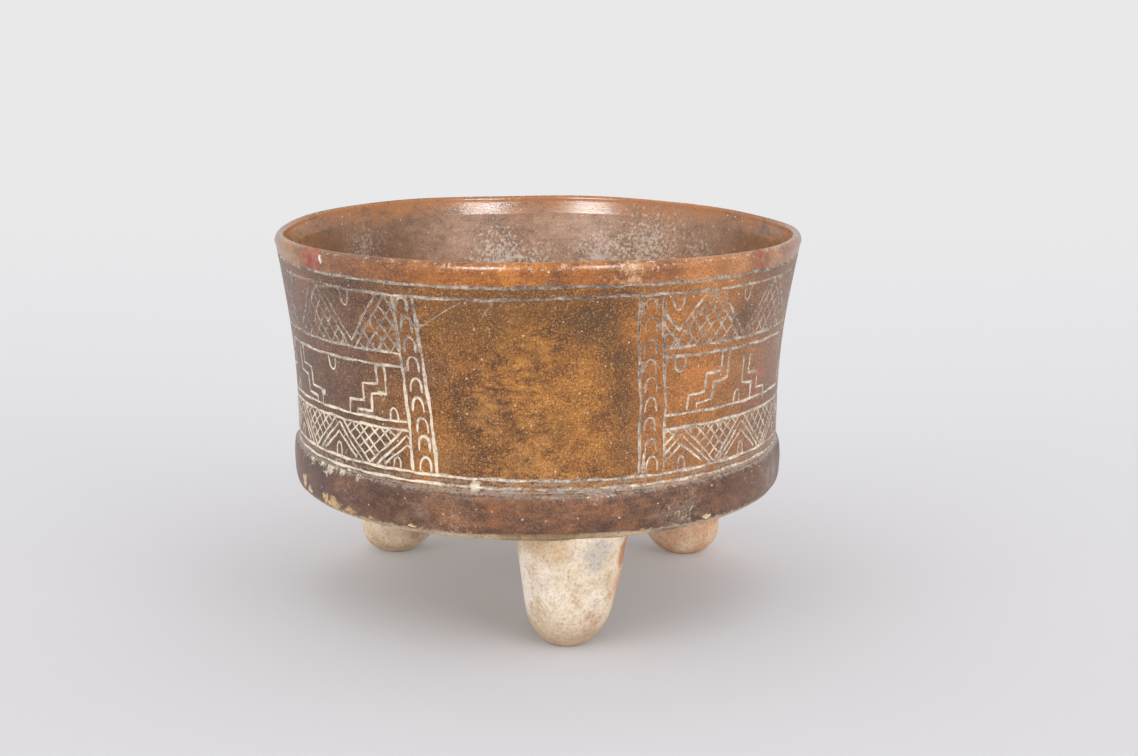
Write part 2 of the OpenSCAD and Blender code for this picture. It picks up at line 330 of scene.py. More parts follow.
# Feet
# Three solid nubbins of the same clay, rolled in the hands, pressed into thumbed seats in the disc and
# pared thinner to a blunt tip. They carry no slip, and each tip is worn to a small flat.
foot_places = {}
for spot in ("front", "rear_left", "rear_right"):
    low, high = (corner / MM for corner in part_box("foot_" + spot))
    foot_places[spot] = ((low + high) / 2, (high.x - low.x) / 2)
front_clay = buff_clay("foot_clay_front", [(0.32, "#cdb596"), (0.46, "#e6d4bb"), (0.60, "#f4e9d8")],
                       [((1, -76, 35), 22, "#d3b086", 0.26, 0.78), ((19, -72, 31), 14, "#b5aca4", 0.2, 0.7),
                        ((21, -69, 23), 10, "#b9b1a8", 0.12, 0.6), ((28, -61, 30), 12, "#c07e56", 0.35, 0.9),
                        ((25, -63, 19), 11, "#cb9673", 0.25, 0.75), ((17, -69, 8), 14, "#b98a68", 0.16, 0.7),
                        # The two near-white patches at the foot's left front are painted light
                        ((-3, -63, 18), 20, "#fdf5ea", 0.3, 0.85),
                        ((0, -70, 21), 15, "#f6e9d9", 0.3, 0.8), (3.0, 22, "#bfa285", 0.2, 0.7),
                        (0.0, 2.2, "#a08c74", 0.1, 0.5)])
left_clay = buff_clay("foot_clay_left", [(0.32, "#cab091"), (0.48, "#e6ceb0"), (0.62, "#f2e1c9")],
                      [((-55, 22, 24), 20, "#a39584", 0.15, 0.7), ((-40, 24, 12), 18, "#b98d69", 0.15, 0.7),
                       (0.0, 2.2, "#8f7960", 0.15, 0.6)])
right_clay = buff_clay("foot_clay_right", [(0.32, "#cfa07c"), (0.48, "#e2bc9c"), (0.62, "#eed6bc")],
                       [((60, 24, 20), 20, "#c9805a", 0.25, 0.9), ((37, 26, 18), 13, "#c67f5c", 0.25, 0.85),
                        ((48, 18, 8), 11, "#dcc3a4", 0.2, 0.7), (0.0, 2.2, "#94755a", 0.1, 0.5)])
# Each foot's clay, girth, phase of its lumps, shift and lean in millimetres, and height of its rounded tip
foot_finish = {"front": (front_clay, 1.03, 0.8, (1.3, 0.0), (-1.6, -1.0), 12.5),
               "rear_left": (left_clay, 0.99, 2.1, (0.0, 0.0), (-2.6, 1.9), 8.5),
               "rear_right": (right_clay, 0.99, 3.9, (0.0, 0.0), (2.6, 1.8), 9.0)}
pared_slope, pared_z = 0.165, under_z - 2
tip_flat, tip_power = 0.125, 2.2


def foot_radius(z, head_r, tip):
    """Radius of a pared foot at a height: nearly straight sides that round in over the height of the tip."""
    side = head_r - (pared_z - z) * pared_slope
    return side * math.sqrt(max(0.0, 1 - (1 - min(1.0, z / tip + tip_flat)) ** tip_power))


def lumpy(a, z, phase):
    """How many times as wide as a turned one the hand-pared side of a foot is at an azimuth and height."""
    lump = (0.022 * math.sin(2 * a + phase) + 0.016 * math.sin(3 * a + z / 6 + phase)
            + 0.009 * math.sin(5 * a - z / 4))
    return 1 + lump * min(1.0, z / 6)


def leaned(co, centre, shift, lean):
    """Where a point of a foot made on the axis goes: to the foot's shifted place, its tip leaning over."""
    down = 1 - co.z / MM / under_z
    return Vector((co.x + (centre.x + shift[0] + lean[0] * down) * MM,
                   co.y + (centre.y + shift[1] + lean[1] * down) * MM, co.z))


seated_z = under_z + 1.4
foot_heights = [0.0, 0.25, 0.8, 1.6, 2.6, 4.0, 5.6, 7.6, 10, 13, 16, 19, 22, 25, 28, 31, 33.5,
                under_z, seated_z]
for spot, (clay, girth, phase, shift, lean, tip) in foot_finish.items():
    centre, head_r = foot_places[spot]
    foot_side = [(foot_radius(z, head_r, tip) * girth, z) for z in foot_heights]
    foot = turned("clay_foot_" + spot, [(0, 0)] + foot_side + [(0, seated_z)], False, 40)
    for v in foot.data.vertices:
        az, r, z = polar(v.co)
        lump = lumpy(math.radians(az), z, phase)
        v.co = leaned(Vector((v.co.x * lump, v.co.y * lump, v.co.z)), centre, shift, lean)
    smooth = foot.modifiers.new("smooth", "SUBSURF")
    smooth.levels = smooth.render_levels = 1
    pick_only(foot)
    bpy.ops.object.modifier_apply(modifier="smooth")
    foot.data.materials.append(clay)
    finish_piece(foot, "foot_" + spot, 60.0)

# Luting of the feet
# Soft clay smeared by thumb round the head of each foot, from the foot's side onto the underside of the
# disc, where it bonds the two. It is thickest in the corner and feathers out.
smear_skin, smear_tall, disc_clear = 0.25, 2.8, 1.2
for spot, (clay, girth, phase, shift, lean, tip) in foot_finish.items():
    centre, head_r = foot_places[spot]
    low, high = (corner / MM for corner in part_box("luting_" + spot))
    inner_heights = [high.z - (high.z - low.z) * t for t in (1.0, 0.6, 0.3, 0.0)]
    inner = [(foot_radius(z, head_r, tip) * girth - smear_skin, z) for z in inner_heights]
    outer = [(head_r + 3.0, high.z), (head_r + 2.2, high.z - 0.5), (head_r + 0.9, high.z - 1.5),
             (foot_radius(high.z - smear_tall, head_r, tip) * girth + smear_skin, high.z - smear_tall)]
    smear = turned("clay_luting_" + spot, inner + outer, True, 48)
    for v in smear.data.vertices:
        az, r, z = polar(v.co)
        a = math.radians(az)
        thumb = lumpy(a, z, phase)
        if r > foot_radius(z, head_r, tip) * girth:
            spread = (z - high.z + smear_tall) / smear_tall
            thumb *= 1 + spread * (0.03 * math.sin(4 * a + phase) + 0.02 * math.sin(7 * a + phase))
        laid = leaned(Vector((v.co.x * thumb, v.co.y * thumb, v.co.z)), centre, shift, lean)
        trim = min(1.0, (disc_r - disc_clear) * MM / math.hypot(laid.x, laid.y))
        v.co = Vector((laid.x * trim, laid.y * trim, laid.z))
    smear.data.materials.append(clay)
    finish_piece(smear, "luting_" + spot, 60.0)

# Wall slabs
# Three slabs of clay, rolled flat, bent round on the disc and butted end to end. Slipped and burnished,
# then incised while leather-hard with a point, and the lines rubbed with white chalk.
waist_r, waist_z, flare_power = 76.9, 66.0, 1.5
wall_foot_t, wall_top_t, lip_t = 6.0, 3.6, 3.0
rim_low, rim_high = (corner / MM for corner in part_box("rim_coil"))
rim_r, rim_z, top_z = rim_high.x, rim_low.z, rim_high.z
lip_r = lip_t / 2
lip_z = top_z - lip_r
ledge_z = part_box("basal_band")[1].z / MM
seat_r = disc_r


def wall_outer(z):
    """Outer radius of the wall: straight to the waist, then flaring to the rim."""
    return waist_r + (rim_r - waist_r) * (max(0.0, z - waist_z) / (lip_z - waist_z)) ** flare_power


def wall_inner(z):
    """Inner radius of the wall, which thins evenly to the rim's joint and runs straight on to the lip."""
    if z <= rim_z:
        return wall_outer(z) - wall_foot_t + (wall_foot_t - wall_top_t) * (z - floor_z) / (rim_z - floor_z)
    joint_r = wall_outer(rim_z) - wall_top_t
    return joint_r + (rim_r - lip_t - joint_r) * (z - rim_z) / (lip_z - rim_z)


# The rim's unevenness grows over a height from level_z up, and the front of the lip is drawn up above drawn_z
level_z, level_h = 62, 50
drawn_up, drawn_z = 1.2, rim_z + 0.8


def lift(az, z):
    """How far the hand-levelled rim rises and falls, dying out down the wall, and the lip rises in front."""
    a = math.radians(az)
    share = min(1.0, max(0.0, (z - level_z) / level_h))
    wave = 0.30 * math.sin(2 * a + 1.0) + 0.20 * math.sin(5 * a + 0.4) + 0.10 * math.sin(9 * a)
    front_lip = drawn_up * max(0.0, math.cos(a)) ** 2 * max(0.0, z - drawn_z) / (top_z - drawn_z)
    return share * wave + front_lip


def on_wall(az, z, out=0.0):
    """Point in millimetres on the outside of the wall, or that far out from it."""
    a, r = math.radians(az), wall_outer(z) + swell(az, z) + out
    return r * math.sin(a), -r * math.cos(a), z + lift(az, z)


def hand_worked(piece):
    """Gives a turned piece the uneven roundness and level of the hand-built vessel."""
    for v in piece.data.vertices:
        az, r, z = polar(v.co)
        grown = (r + swell(az, z)) / r
        v.co = Vector((v.co.x * grown, v.co.y * grown, (z + lift(az, z)) * MM))


# The incised lines, as strokes on the unrolled wall: azimuth in degrees, height in millimetres.
# A degree is as long as on the middle of the wall, and a stroke has a point every dot_gap millimetres.
hand = random.Random(7)
strokes = {"rings": [], "rules": [], "uprights": [], "rising": [], "falling": [], "marks": []}
arc_mm = math.radians(1) * 78.5
dot_gap, end_run = 1.1, 1.2


def stroke(group, path, wide, deep, ring=False):
    """Draws one line of the point as a row of tube centres and radii that just cut into the wall."""
    flat = [Vector((az * arc_mm, z)) for az, z in path]
    dots = []
    for a, b in zip(flat, flat[1:]):
        count = max(1, math.ceil((b - a).length / dot_gap))
        dots += [a.lerp(b, i / count) for i in range(count)]
    if not ring:
        dots.append(flat[-1])
    length = sum((b - a).length for a, b in zip(dots, dots[1:]))
    turns = [hand.uniform(0, 6.28) for _ in range(4)]
    run, tube = 0.0, []
    for i, dot in enumerate(dots):
        run += (dot - dots[i - 1]).length if i else 0.0
        ahead = (dots[min(i + 1, len(dots) - 1)] - dots[max(i - 1, 0)]).normalized()
        waver = 0.11 * math.sin(run / 2.3 + turns[0]) + 0.06 * math.sin(run / 0.9 + turns[1])
        press = 1 + 0.22 * math.sin(run / 3.1 + turns[2]) + 0.12 * math.sin(run / 1.2 + turns[3])
        end = 1.0 if ring else min(1.0, 0.5 + 0.5 * min(run, length - run) / end_run)
        half, depth = wide / 2 * press * end, deep * press * end
        radius = (half * half + depth * depth) / (2 * depth)
        az, z = (dot.x - ahead.y * waver) / arc_mm, dot.y + ahead.x * waver
        tube.append((Vector(on_wall(az, z, radius - depth)) * MM, radius))
    strokes[group].append((tube, ring))


slant_wide, slant_deep, slant_least = 0.68, 0.30, 0.5


def scratch(p, q, keep, wide=slant_wide, deep=slant_deep):
    """A slanting line between two points, kept within two azimuths."""
    (a0, z0), (a1, z1) = sorted((p, q))
    low, high = max(a0, keep[0]), min(a1, keep[1])
    if high - low < slant_least:
        return
    slope = (z1 - z0) / (a1 - a0)
    path = [(low, z0 + slope * (low - a0)), (high, z0 + slope * (high - a0))]
    stroke("rising" if slope > 0 else "falling", path, wide, deep)


def hatched(apex, left, right, rows, keep, bold):
    """A triangle with two sets of lines parallel to its sides, drawn with a bold or a light hand."""
    for near, far in ((left, right), (right, left)):
        for k in range(rows):
            t = (k + (hand.uniform(-0.14, 0.14) if k else 0)) / rows
            foot = (near[0] + (far[0] - near[0]) * t, near[1] + (far[1] - near[1]) * t)
            head = (apex[0] + (far[0] - apex[0]) * t, apex[1] + (far[1] - apex[1]) * t)
            scratch(foot, head, keep, (0.54 if k else 0.70) * bold, 0.24 if k else 0.30)


def arch(az, foot_z, crown_z, half_az, wide=0.66, deep=0.30):
    """A loop of one turn of the wrist, open at its feet: standing, or hanging where its crown is lower."""
    path = []
    for i in range(11):
        a = math.pi * i / 10
        path.append((az + half_az * math.cos(a), foot_z + (crown_z - foot_z) * math.sin(a) ** 0.6))
    stroke("marks", path, wide, deep)


def fret(az, top, side):
    """A stepped fret of two parallel lines that goes down three steps to one side."""
    steps = [(0, 0), (0, -5.8), (4.3, -6.4), (4.5, -11.6), (9.0, -12.0), (9.2, -16.4)]
    inner = [(-2.4, 0)] + [(a - 2.4, z - 2.8) for a, z in steps[1:5]] + [(6.6, -16.2)]
    for line in (steps, inner):
        stroke("marks", [(az + side * a, top + z) for a, z in line], 0.78, 0.32)


# The four rings that run all the way round: two under the rim and two above the ledge
for wide, levels in (
        (0.86, [(-180, 111.1), (-60, 110.9), (0, 111.2), (60, 111.3), (180, 111.1)]),
        (0.82, [(-180, 107.6), (-60, 107.4), (-25, 107.4), (22, 108.2), (60, 107.8), (180, 107.6)]),
        (0.82, [(-180, 54.6), (-30, 54.8), (25, 54.4), (60, 54.7), (180, 54.6)]),
        (0.80, [(-180, 52.1), (-20, 52.2), (30, 51.9), (180, 52.1)])):
    stroke("rings", levels, wide, 0.42, True)

# The upright borders of the two plain panels, front and back, and the row of loops in each
loop_count = 9
for middle in (0, 180):
    for outer, inner, loops, wide, thin in (
            (((-29.7, 107), (-28.8, 86), (-27.2, 55.2)), ((-25, 107), (-23, 80), (-21.2, 55.2)),
             ((-27.3, 104.8), (-24.0, 57.2)), 1.0, 0.8),
            (((26.8, 107.6), (27.2, 98), (28.6, 85), (29.5, 75), (29.3, 55.2)),
             ((21.5, 107.6), (22, 95), (23.4, 75), (23.2, 55.2)), ((24.2, 104.6), (26.5, 57.4)), 0.78, 0.58)):
        stroke("uprights", [(middle + az, z) for az, z in outer], wide, 0.42)
        stroke("uprights", [(middle + az, z) for az, z in inner], wide, 0.42)
        (a0, z0), (a1, z1) = loops
        for k in range(loop_count):
            az = middle + a0 + (a1 - a0) * k / (loop_count - 1) + hand.uniform(-0.2, 0.2)
            z = z0 + (z1 - z0) * k / (loop_count - 1) + hand.uniform(-0.3, 0.3)
            arch(az, z - 2.0, z + 2.3, 1.35, thin, 0.32)
stroke("uprights", [(24.5, 61.5), (24.2, 55.3)], 0.7, 0.3)

# The two long panels: triangles above, frets between, hanging triangles below. Each has its side and hand,
# the azimuths it keeps within, the heights of its top and rules, and the places of what stands along it.
post_foot_z, post_bend_z, end_clear = 55.2, 75, 2
fret_apart, fret_count, hatch_rows = 41, 3, 6
half, half_low = 9.8, 9.2
for side, bold, keep, low_start, top, rules, apexes, frets, fret_drop, loops, tips in (
        (-1, 1.0, (-150.6, -29.0), -27.5, 107.2, (89.7, 85.6, 69.0, 66.5),
         (-31.8, -53.0, -76.0, -97.0, -118.0, -139.0), (-36.0, -65.7), 0, (-50.6, -31.8),
         [-18.0 - 21.0 * k for k in range(7)]),
        (1, 0.88, (27.6, 150.2), 29.3, 107.8, (91.6, 88.8, 71.3, 67.2),
         (22.5, 39.6, 62.0, 82.0, 102.0, 122.0, 142.0), (44.4, 54.8), 3.0, (32.4, 51.0),
         [24.0 + 19.8 * k for k in range(7)])):
    high_rule, mid_top, mid_low, low_rule = rules
    near, far = (keep[1], keep[0]) if side < 0 else keep
    for z, fall in zip(rules, (0.2, 0.3, 0.8, 0.6)):
        start = -27.2 - 0.052 * (z - post_foot_z) if side < 0 else 29.4 - 0.09 * max(0.0, z - post_bend_z)
        path = [(start, z + 0.3), (near + side * 30, z), (near + side * 70, z - fall), (far, z)]
        stroke("rules", path, 0.8, 0.34)
    for apex in apexes:
        hatched((apex, top - 0.6), (apex - half, high_rule), (apex + half, high_rule), hatch_rows, keep, 0.9)
    for a, b in zip(apexes, apexes[1:]):
        valley, reach = (a + b) / 2, abs(b - a) / 2 - 2.4
        for arm in (-reach, reach):
            scratch((valley, top - 0.8 - reach * (top - high_rule) / half), (valley + arm, top - 0.8), keep)
        if keep[0] + end_clear < valley < keep[1] - end_clear:
            arch(valley - 0.5, top, top - 4.8, 1.15)
    for k in range(fret_count):
        first, second = (az + side * fret_apart * k for az in frets)
        fret(first, mid_top, -1)
        if keep[0] < second - 3:
            fret(second, mid_top - fret_drop, 1)
        hang, stand = (az + side * fret_apart * k for az in loops)
        arch(hang, mid_top, mid_top - 4.4, 1.3)
        arch(stand, mid_low, mid_low + 4.2, 1.1)
    keep_low = (keep[0], low_start) if side < 0 else (low_start, keep[1])
    for tip in tips:
        hatched((tip, 55.4), (tip - half_low, low_rule), (tip + half_low, low_rule), hatch_rows, keep_low, bold)
    for a, b in zip(tips, tips[1:]):
        ridge = (a + b) / 2
        for arm in (-1, 1):
            scratch((ridge, 62.6), (ridge + arm * 6.2, 55.8), keep_low, slant_wide * bold)
            scratch((ridge, 65.4), (ridge + arm * 8.4, 55.3), keep_low, slant_wide * bold)
        if keep[0] + end_clear < ridge < keep[1] - end_clear:
            arch(ridge, post_foot_z, 59.0, 0.95)
arch(-31.2, 55.4, 58.6, 0.95)

# Two stray scratches in the front panel
for path in ([(-23.7, 98.7), (-14.4, 106.8)], [(-10.3, 102.1), (-8.0, 106.6)]):
    stroke("marks", path, 0.20, 0.06)

# Chalk infill: a white lime paste rubbed into the lines. It is cream where it is whole, low on the left,
# and elsewhere worn to a dull grey with grains of white.
chalk, tree = new_finish("chalk_infill")
place = add(tree, "ShaderNodeTexCoord").outputs["Object"]
along = add(tree, "ShaderNodeSeparateXYZ", {"Vector": place})
kept = add(tree, "ShaderNodeTexNoise", {"Vector": place, "Scale": 1 / (5 * MM), "Detail": 5.0,
                                        "Roughness": 0.7}).outputs["Fac"]
grainy = add(tree, "ShaderNodeTexNoise", {"Vector": place, "Scale": 1 / (0.9 * MM), "Detail": 3.0,
                                          "Roughness": 0.7}).outputs["Fac"]
amount = add(tree, "ShaderNodeMix", {0: 0.5, 2: kept, 3: grainy}).outputs[0]
low = add(tree, "ShaderNodeMapRange", {"Value": along.outputs["Z"], "From Min": 94 * MM, "From Max": 76 * MM,
                                       "To Max": 0.13}).outputs["Result"]
left = add(tree, "ShaderNodeMapRange", {"Value": along.outputs["X"], "From Min": 0.0, "From Max": -32 * MM,
                                        "To Min": 0.5}).outputs["Result"]
whole = add(tree, "ShaderNodeMath", {0: low, 1: left}, operation="MULTIPLY").outputs["Value"]
amount = add(tree, "ShaderNodeMath", {0: amount, 1: whole}, operation="ADD").outputs["Value"]
for start, full, gain in ((0, -28, 0.07), (-50, -70, -0.03), (18, 32, 0.05)):
    more = add(tree, "ShaderNodeMapRange", {"Value": along.outputs["X"], "From Min": start * MM,
                                            "From Max": full * MM, "To Max": gain}).outputs["Result"]
    amount = add(tree, "ShaderNodeMath", {0: amount, 1: more}, operation="ADD").outputs["Value"]
paste = add(tree, "ShaderNodeValToRGB", {"Fac": amount},
            stops=[(0.40, "#67544b"), (0.51, "#8d7f75"), (0.61, "#c2b6a8"), (0.71, "#f2e6d0")]).outputs["Color"]
bump = add(tree, "ShaderNodeBump", {"Height": grainy, "Strength": 0.5, "Distance": 0.3 * MM})
shader = add(tree, "ShaderNodeBsdfPrincipled", {"Base Color": paste, "Roughness": 0.9,
                                                "Normal": bump.outputs["Normal"]})
add(tree, "ShaderNodeOutputMaterial", {"Surface": shader.outputs["BSDF"]})

tool_gap = 0.0002 * MM


def drawn_tool(name, tubes, fineness, finish):
    """Makes tubes of centres and radii into a mesh that is cut out of the clay and leaves its finish there."""
    drawn = bpy.data.curves.new(name, "CURVE")
    drawn.dimensions = "3D"
    drawn.bevel_depth = MM
    drawn.bevel_resolution = fineness
    drawn.use_fill_caps = True
    for tube, ring in tubes:
        spline = drawn.splines.new("POLY")
        spline.points.add(len(tube) - 1)
        spline.use_cyclic_u = ring
        for point, (co, radius) in zip(spline.points, tube):
            point.co = co.to_4d()
            point.radius = radius
    tool = bpy.data.objects.new(name, drawn)
    bpy.context.scene.collection.objects.link(tool)
    pick_only(tool)
    bpy.ops.object.convert(target="MESH")
    tool = bpy.context.view_layer.objects.active
    bpy.ops.object.mode_set(mode="EDIT")
    bpy.ops.mesh.select_all(action="SELECT")
    bpy.ops.mesh.remove_doubles(threshold=tool_gap)
    bpy.ops.mesh.normals_make_consistent(inside=False)
    bpy.ops.object.mode_set(mode="OBJECT")
    tool.data.materials.clear()
    tool.data.materials.append(finish)
    return tool


points = {group: drawn_tool("point_" + group, tubes, 2, chalk) for group, tubes in strokes.items()}


def carve(piece, tool, operation):
    """Cuts a tool out of a piece, or keeps only what it covers; the cut faces take the tool's material."""
    pick_only(piece)
    cut = piece.modifiers.new("cut", "BOOLEAN")
    cut.operation = operation
    cut.solver = "MANIFOLD"
    cut.material_mode = "TRANSFER"
    cut.object = tool
    bpy.ops.object.modifier_apply(modifier="cut")


def incise(piece, groups):
    """Cuts the strokes out of a piece, and marks the edges of the lines, where chalk dust clings."""
    for group in groups:
        carve(piece, points[group], "DIFFERENCE")
    mesh = piece.data
    dust = mesh.attributes.new("chalk_dust", "FLOAT", "POINT")
    for f in mesh.polygons:
        if mesh.materials[f.material_index] == chalk:
            for i in f.vertices:
                dust.data[i].value = 1.0


slip_tones = (gold_tones, plum_tones, rust_tones)
wall_slip = brown_slip(
    "burnished_brown_slip", slip_tones,
    [(on_wall(-6, 106), 36, "#5e3f23", 0.25, 0.7), (on_wall(-16, 103), 22, "#5f4024", 0.2, 0.6),
     (on_wall(13, 101), 21, "#433022", 0.25, 0.8), (on_wall(18, 89), 17, "#433021", 0.22, 0.75),
     (on_wall(-3, 68.5), 10, "#543b25", 0.16, 0.6), (on_wall(5, 68.5), 12, "#543b25", 0.16, 0.6),
     (on_wall(-24, 86), 20, "#5f4a44", 0.2, 0.65), (on_wall(0, 94), 24, "#ca8936", 0.17, 0.5),
     (on_wall(-5, 84), 24, "#c88637", 0.15, 0.5), (on_wall(0, 76), 20, "#c3843d", 0.12, 0.45),
     (on_wall(-10, 75), 15, "#bd8849", 0.22, 0.42), (on_wall(0, 59), 30, "#c48a4a", 0.16, 0.55),
     (on_wall(-45, 60), 26, "#4d372d", 0.1, 0.6), (on_wall(24, 98), 16, "#ac6a2c", 0.22, 0.7),
     (on_wall(25, 82), 15, "#a9672d", 0.2, 0.65),
     (on_wall(26, 66), 14, "#a8683a", 0.15, 0.6), (on_wall(50, 98), 13, "#4f3b30", 0.25, 0.85),
     (on_wall(38, 82), 22, "#c8742f", 0.12, 0.6), (on_wall(61, 79), 7, "#a5573c", 0.3, 0.8),
     (on_wall(61, 73), 7, "#a5573c", 0.3, 0.8), (on_wall(61.5, 67), 6, "#a5573c", 0.3, 0.8),
     (on_wall(-37, 97), 14, "#9d6231", 0.2, 0.6), (on_wall(-58, 106), 8, "#8a5443", 0.3, 0.8),
     (on_wall(34, 58), 16, "#80593f", 0.18, 0.65), (on_wall(47, 58), 17, "#775442", 0.2, 0.7),
     (on_wall(61, 62), 18, "#6f5044", 0.15, 0.6), (on_wall(-18, 59), 12, "#70523a", 0.2, 0.6),
     (on_wall(19, 76), 15, "#604429", 0.18, 0.6), (on_wall(19.5, 63), 13, "#66482d", 0.18, 0.6),
     (on_wall(63, 95), 20, "#785647", 0.12, 0.6)],
    [(on_wall(-12.5, 52.3), 3.6, "#e6d7ba", 0.3, 1.0), (on_wall(-55.5, 73), 3.0, "#e8dcc6", 0.2, 0.9),
     (on_wall(-35, 77), 3.0, "#e8dcc6", 0.2, 0.9), (50.8, 2.6, "#a89a8d", 0.17, 0.6),
     (53.4, 1.8, "#9b8c7e", 0.1, 0.6), (109.3, 2.0, "#a8998a", -0.06, 0.5),
     (on_wall(-48, 51), 15, "#e0d4bf", 0.04, 0.9), (on_wall(56, 60), 14, "#c4b5a3", 0.0, 0.5)]
    # The pale row along the ledge at the front and right is partly lime crust and partly a painted highlight on
    # the ledge's crest
    + [(on_wall(az, 50.9), 5.0, "#b5a89b", 0.12, 0.65) for az in range(-6, 40, 4)],
    0.30, 0.7, 1.5)

slab_turn = 120.0
slab_starts = {"front": -59.0, "right": 61.0, "left": 181.0}
outer_rows = [ledge_z + (rim_z - ledge_z) * i / 50 for i in range(51)]
inner_rows = [floor_z + (rim_z - floor_z) * i / 22 for i in range(23)]
slab_section = ([(seat_r, floor_z), (seat_r, ledge_z)] + [(wall_outer(z), z) for z in outer_rows]
                + [(wall_inner(z), z) for z in reversed(inner_rows)])
for spot, from_az in slab_starts.items():
    slab = turned("clay_wall_slab_" + spot, slab_section, True, 110, from_az, slab_turn)
    slab.data.materials.append(wall_slip)
    slab.data.materials.append(inside_slip)
    for f in slab.data.polygons:
        az, r, z = polar(f.center)
        f.material_index = 1 if r < (wall_outer(z) + wall_inner(z)) / 2 else 0
    hand_worked(slab)
    incise(slab, strokes)
    finish_piece(slab, "wall_slab_" + spot)

# Rim coil
# A coil of clay set on top of the slabs and drawn up with wet fingers to a rounded lip. It shares the
# slip and burnish of the wall, and its joint is hidden in the uppermost incised line.
rim_rows = [rim_z + (lip_z - rim_z) * i / 6 for i in range(7)]
shoulder_w, shoulder_h = 1.9, 2.5
crest_r = rim_r - shoulder_w
rim_section = [(wall_outer(z), z) for z in rim_rows if z < top_z - shoulder_h - 0.2]
lip_steps = 16
for i in range(lip_steps + 1):
    a = math.pi * i / lip_steps
    wide, tall = (shoulder_w, shoulder_h) if i < lip_steps / 2 else (lip_t - shoulder_w, lip_r)
    rim_section.append((crest_r + wide * math.cos(a), top_z - tall + tall * math.sin(a)))
rim_section += [(wall_inner(z), z) for z in reversed(rim_rows[:-1])]
rim_tones = (
    [(0.37, "#553216"), (0.45, "#884f1b"), (0.51, "#ae6621"), (0.57, "#c67d2d"), (0.64, "#d69747")],
    [(0.36, "#553622"), (0.50, "#8a5833"), (0.63, "#b07c4c")],
    [(0.36, "#704322"), (0.45, "#985b2c"), (0.53, "#b5733d"), (0.62, "#cd915a")])
rim_slip = brown_slip(
    "burnished_rim_slip", rim_tones,
    [(on_wall(-22, 114), 14, "#8a5428", 0.12, 0.6), (on_wall(4, 111.5), 8, "#5d4a3c", 0.2, 0.6),
     (on_wall(12, 114), 10, "#8a5530", 0.1, 0.5), (on_wall(20, 114), 14, "#d29c66", 0.16, 0.7),
     (on_wall(41, 115), 11, "#8a5528", 0.22, 0.75), (on_wall(60, 115), 14, "#c08a5c", 0.2, 0.7)],
    [(116.9, 1.4, "#dcc8b2", 0.0, 0.6), (on_wall(20, 116.5), 18, "#e0c0a2", 0.06, 0.6),
     (on_wall(-49.4, 114.8), 2.2, "#f0e8dc", 0.35, 1.0)]
    # The pale row along the front of the lip is partly wear and partly a painted highlight on its crest
    + [(on_wall(az, 117.0), 4.5, "#e2c3a6", 0.1, 0.7) for az in range(-36, 40, 6)],
    0.16, 0.4, 1.5)
rim = turned("clay_rim_coil", rim_section, True, 330)
rim.data.materials.append(rim_slip)
rim.data.materials.append(inside_slip)
for f in rim.data.polygons:
    f.material_index = 1 if f.normal.xy.dot(f.center.xy.normalized()) < -0.6 else 0
hand_worked(rim)

# Rim mends
# Two places where the lip was chipped and later made good with a brick-red filler of clay and glue,
# rubbed down flush with the lip. The left one is broad and round, the right one a narrow upright run.

# Filler: a fine matt paste, dull brick red and a little blotched
filler, tree = new_finish("brick_red_filler")
place = add(tree, "ShaderNodeTexCoord").outputs["Object"]
blotch = add(tree, "ShaderNodeTexNoise", {"Vector": place, "Scale": 1 / (2.5 * MM), "Detail": 5.0,
                                          "Roughness": 0.7}).outputs["Fac"]
red = add(tree, "ShaderNodeValToRGB", {"Fac": blotch},
          stops=[(0.34, "#85483a"), (0.50, "#9f5e4a"), (0.66, "#b57a63")]).outputs["Color"]
bump = add(tree, "ShaderNodeBump", {"Height": blotch, "Strength": 0.25, "Distance": 0.4 * MM})
shader = add(tree, "ShaderNodeBsdfPrincipled", {"Base Color": red, "Roughness": 0.6,
                                                "Normal": bump.outputs["Normal"]})
add(tree, "ShaderNodeOutputMaterial", {"Surface": shader.outputs["BSDF"]})


def facing(az):
    """The level directions out from the wall and along it at an azimuth."""
    a = math.radians(az)
    return Vector((math.sin(a), -math.cos(a), 0)), Vector((-math.cos(a), -math.sin(a), 0))


mend_deep, mend_z, mend_tall = 1.7, 114.4, 4.0
for side, az, half_w, boxy in (("left", -53.0, 5.3, 0.6), ("right", 53.0, 1.8, 0.4)):
    bpy.ops.object.select_all(action="DESELECT")
    bpy.ops.mesh.primitive_uv_sphere_add(segments=48, ring_count=24, radius=1.0, location=(0, 0, 0))
    plug = bpy.context.view_layer.objects.active
    out, over = facing(az)
    middle = Vector(on_wall(az, mend_z))
    for v in plug.data.vertices:
        x, y, up = (math.copysign(abs(c) ** boxy, c) for c in v.co)
        edge = half_w * (1 + 0.06 * math.sin(3 * up + az))
        v.co = (middle + over * x * edge + out * y * mend_deep + Vector((0, 0, up * mend_tall))) * MM
    mend = bpy.data.objects.new("filler_rim_mend_" + side, rim.data.copy())
    bpy.context.scene.collection.objects.link(mend)
    carve(mend, plug, "INTERSECT")
    carve(rim, plug, "DIFFERENCE")
    bpy.data.objects.remove(plug)
    mend.data.materials.clear()
    mend.data.materials.append(filler)
    for f in mend.data.polygons:
        f.material_index = 0
    incise(mend, ("rings",))
    finish_piece(mend, "rim_mend_" + side)
incise(rim, ("rings",))
finish_piece(rim, "rim_coil")

